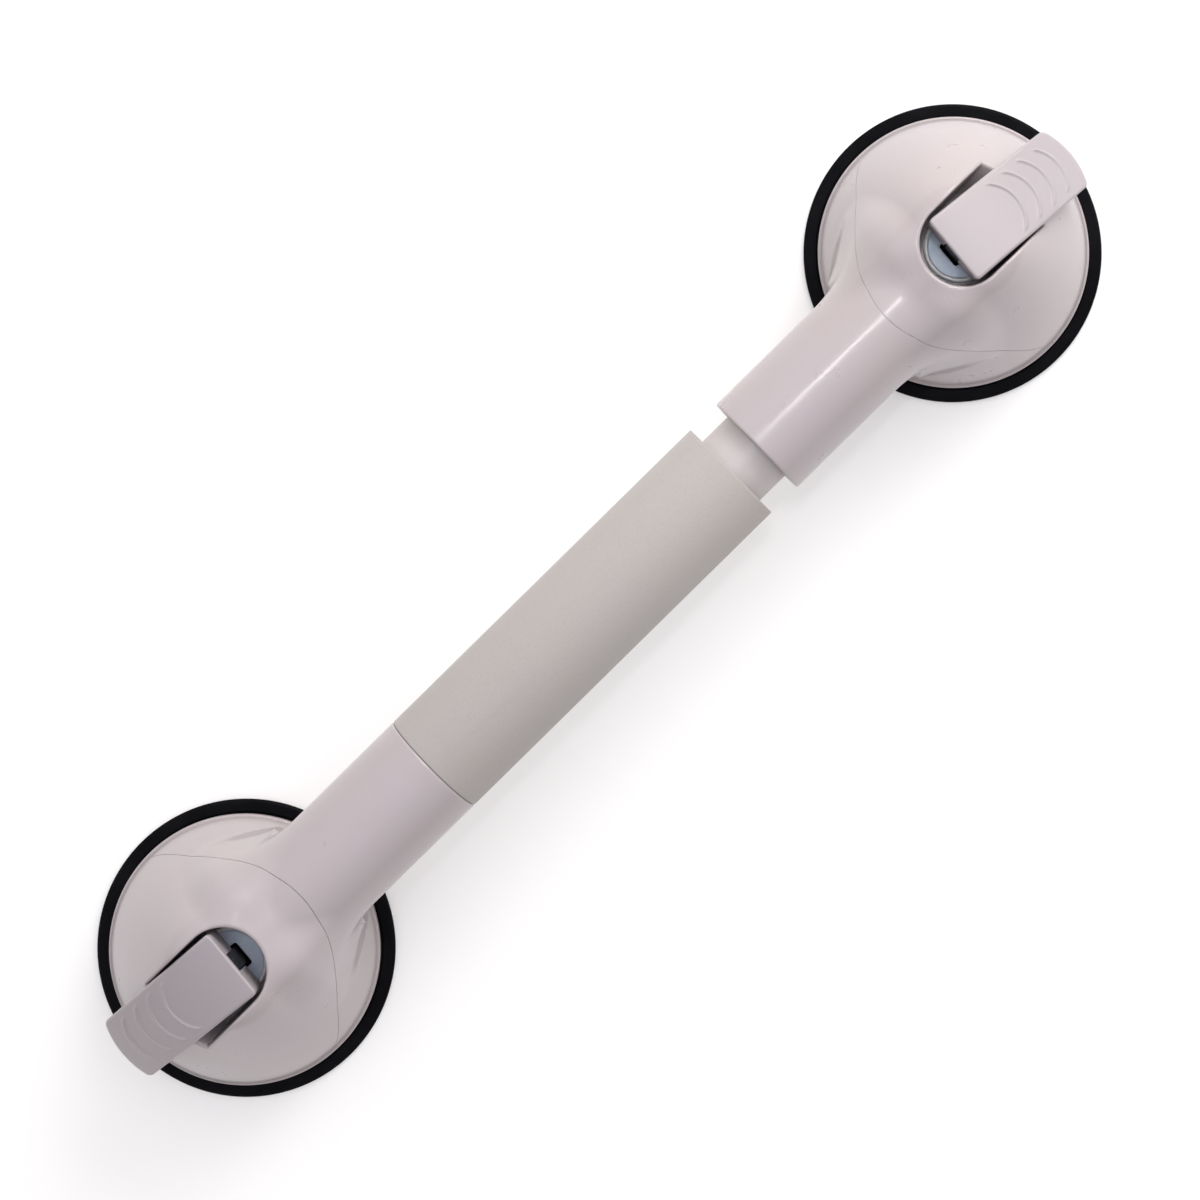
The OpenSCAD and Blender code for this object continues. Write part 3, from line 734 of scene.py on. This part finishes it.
def zinc_material(name, centre):
    """Zinc-plated washer: blue-white plating, and a painted highlight in white on its raised rim."""
    m, nt, b = new_material(name, (0.74, 0.84, 0.97), 0.46, 0.25)
    vec = coords(nt)
    mp = nt.nodes.new("ShaderNodeMapping")
    mp.inputs["Location"].default_value = (-centre, 0, 0)
    mp.inputs["Scale"].default_value = (1, 1, 0)
    nt.links.new(vec, mp.inputs["Vector"])
    ln = nt.nodes.new("ShaderNodeVectorMath")
    ln.operation = "LENGTH"
    nt.links.new(mp.outputs["Vector"], ln.inputs[0])
    # painted highlight: a band round the washer's rim where the colour will turn white
    rim_highlight = remap(nt, ln.outputs["Value"], (WR - 1.7) * MM, (WR - 1.1) * MM, 0.0, 1.0)
    patch = noise(nt, vec, 210, 4.0, 0.65)
    c = mix(nt, remap(nt, patch, 0.3, 0.7, 0.0, 1.0), (0.66, 0.76, 0.90), (0.80, 0.90, 1.0))
    # painted highlight: white mixed into the plating colour on the rim band
    c = mix(nt, rim_highlight, c, (1.0, 1.0, 1.0))
    nt.links.new(c, b.inputs["Base Color"])
    nt.links.new(remap(nt, noise(nt, vec, 420, 4.0, 0.6), 0.3, 0.7, 0.38, 0.54), b.inputs["Roughness"])
    bump(nt, b, noise(nt, vec, 900, 3.0, 0.6), 0.25, 0.00005)
    return m


M_ZINC = {"left": zinc_material("zinc_plate_left", HX_L), "right": zinc_material("zinc_plate_right", HX_R)}
M_DRAW = metal("draw_steel", (0.035, 0.036, 0.040), 0.45, (60, 1, 1), metallic=0.3)
M_SCREW = metal("screw_steel", (0.52, 0.53, 0.55), 0.34, (30, 30, 1))

# ------------------------------------------------------------------ build
H_HEAD = 0.7
H_LEVER = 0.45
H_SMALL = 0.32
made_body = mesh_field(body_field, (-56, -56, 2.5), (REACH + 1.5, 56, 77), H_HEAD)
made_cap = mesh_field(cap_field, (-56, -56, 6), (47, 56, 84), H_HEAD)
made_lever = mesh_field(lever_field, (-60, -17, 28), (9, 17, 85), H_LEVER)
made_wash = mesh_field(washer_field, (-17, -18, FLOOR_Z - 1.5), (18.5, 18, WASH_TOP + 1.5), H_SMALL)
made_bar = mesh_field(bar_field, (-8, -8, 10), (8, 8, PIN_Z + 6.5), H_SMALL)

PLACES = {
    "left": Matrix.Translation((HX_L, 0, 0)),
    "right": Matrix.Translation((HX_R, 0, 0)) @ Matrix.Rotation(math.pi, 4, "Z"),
}
YAWED = {s: m @ Matrix.Rotation(YAW, 4, "Z") for s, m in PLACES.items()}

CUP = rounded([
    (0, 7.0, 0), (12, 6.7, 4), (30, 3.6, 6), (45.5, 0.35, 2), (46.6, 0.0, 0.6), (58.9, 0, 0.5), (CUP_R, 0.7, 0.5),
    (CUP_R, 2.4, 0.8), (59.0, 3.2, 0.6), (55.2, 3.35, 0.6), (54.6, 3.0, 0.3), (51.0, 3.6, 2), (44, 4.6, 4), (30, 9.2, 6), (20, 13.2, 4), (17.2, 14.8, 1),
    (16.4, 17.6, 0.8), (7.3, 17.6, 0.4), (7.3, 13.2, 0), (14.2, 13.2, 0), (14.2, 10.3, 0), (0, 10.3, 0)], 4)

for side, body, draw, lever in (("left", "left_side", "left_draw", "left_lever"), ("right", "right_side", "right_draw", "right_lever")):
    P, Y = PLACES[side], YAWED[side]
    field_piece(side + "_shell_neck", made_body, P, M_SHELL, body, [side + "_head_body"])
    field_piece(side + "_shell_cap", made_cap, P, M_SHELL, body, [side + "_head_cap"])
    field_piece(side + "_lever_handle", made_lever, Y, M_LEVER, lever, [side + "_lever"])
    field_piece(side + "_washer_plate", made_wash, Y, M_ZINC[side], body, [side + "_washer"])
    field_piece(side + "_draw_link", made_bar, Y, M_DRAW, draw, [side + "_draw_bar"])
    hx = HX_L if side == "left" else HX_R
    cup = lathe(side + "_cup_rubber", CUP, 192, Matrix.Translation((hx, 0, 0)), M_CUP_L if side == "left" else M_CUP_R,
                None, [side + "_cup"], sharp=40)
    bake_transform(cup)

ALONG = Matrix.Translation((0, 0, AXIS * MM)) @ Matrix.Rotation(math.pi / 2, 4, "Y")


def tube_piece(name, x0, x1, ro, ri, edge, material, body, replaces, segs=160, mid=()):
    """A tube along X with rounded ends."""
    ring = [(ri, x0, edge * 0.5), (ro, x0, edge), (ro, x1, edge), (ri, x1, edge * 0.5)]
    return lathe(name, rounded(ring, 5), segs, ALONG, material, body, replaces, sharp=50)


tube_piece("grip_cover", GRIP_X[0] + 0.05, GRIP_X[1], GRIP_R, OUTER_R, 0.55, M_GRIP, "left_side", ["grip_sleeve"])
tube_piece("thin_tube", TUBE_X[0], TUBE_X[1], TUBE_R, TUBE_R - 2, 0.3, M_TUBE, "right_side", ["inner_tube"])

KEEP = {
    "outer_tube": M_TUBE, "guide_bush": M_INNER, "tube_adapter": M_INNER, "tube_end_cap": M_INNER, "slide_plug": M_PLUG,
    "slide_plug_ring": M_RING, "slide_plug_screw": M_SCREW,
}
for side in ("left", "right"):
    KEEP[side + "_cap_screws"] = M_SCREW
    KEEP[side + "_socket_screw"] = M_SCREW
    KEEP[side + "_lever_pin"] = M_SCREW
    KEEP[side + "_cup_core"] = M_DRAW
for node, mat in KEEP.items():
    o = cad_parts[node]
    if not o.material_slots:
        o.data.materials.append(mat)
    for s in o.material_slots:
        s.link = "OBJECT"
        s.material = mat

# ------------------------------------------------------------------ floor, light
floor_me = bpy.data.meshes.new("floor")
bm = bmesh.new()
N = 8
S = 3.0
grid = [[bm.verts.new(((i / N - 0.5) * 2 * S, (j / N - 0.5) * 2 * S, 0)) for j in range(N + 1)] for i in range(N + 1)]
for i in range(N):
    for j in range(N):
        bm.faces.new((grid[i][j], grid[i + 1][j], grid[i + 1][j + 1], grid[i][j + 1]))
bm.to_mesh(floor_me)
bm.free()
floor = bpy.data.objects.new("floor", floor_me)
bpy.context.scene.collection.objects.link(floor)
m_floor, nt, b = new_material("floor_paper", (0.68, 0.667, 0.65), 0.9, spec=0.05)
fc = mix(nt, remap(nt, noise(nt, coords(nt), 3, 2.0, 0.5), 0.3, 0.7, 0.0, 1.0), (0.685, 0.67, 0.65), (0.675, 0.665, 0.655))
nt.links.new(fc, b.inputs["Base Color"])
b.inputs["Emission Color"].default_value = (1, 1, 1, 1)
b.inputs["Emission Strength"].default_value = 0.24
floor_me.materials.append(m_floor)

world = bpy.data.worlds.new("studio")
bpy.context.scene.world = world
world.use_nodes = True
wt = world.node_tree
bg = wt.nodes.get("Background")
wc = wt.nodes.new("ShaderNodeTexCoord")
sep = wt.nodes.new("ShaderNodeSeparateXYZ")
wt.links.new(wc.outputs["Generated"], sep.inputs[0])
sky = mix(wt, remap(wt, sep.outputs["Z"], 0.1, 0.95, 0.0, 1.0), (1.0, 0.955, 0.90), (0.965, 0.965, 1.05))
side = wt.nodes.new("ShaderNodeVectorMath")
side.operation = "DOT_PRODUCT"
wt.links.new(wc.outputs["Generated"], side.inputs[0])
side.inputs[1].default_value = (0.24, 0.24, 0.68)
tilt = wt.nodes.new("ShaderNodeMath")
tilt.operation = "ADD"
wt.links.new(side.outputs["Value"], tilt.inputs[0])
tilt.inputs[1].default_value = 0.60
sky = mix(wt, 1.0, sky, tilt.outputs[0], "MULTIPLY")
wt.links.new(sky, bg.inputs["Color"])
bg.inputs["Strength"].default_value = 1.0


def area(name, loc, target, sx, sy, power, color=(1, 1, 1), roll=0.0):
    d = bpy.data.lights.new(name, "AREA")
    d.shape = "RECTANGLE"
    d.size, d.size_y = sx, sy
    d.energy = power
    d.color = color
    o = bpy.data.objects.new(name, d)
    o.location = loc
    o.rotation_mode = "QUATERNION"
    o.rotation_quaternion = (Vector(target) - Vector(loc)).to_track_quat("-Z", "Y") @ Matrix.Rotation(roll, 3, "Z").to_quaternion()
    bpy.context.scene.collection.objects.link(o)
    return o


area("key", (1.22, 0.44, 0.80), (0.02, 0, 0.03), 0.9, 0.9, 16.5, (1.0, 0.975, 0.96))
strip = area("strip", (0.30, 0.24, 2.0), (0.155, 0, 0.06), 0.36, 0.13, 0.075, (1.0, 0.99, 1.0))
strip.data.spread = math.radians(22)

bpy.context.scene.view_settings.view_transform = "Standard"

bpy.context.view_layer.update()
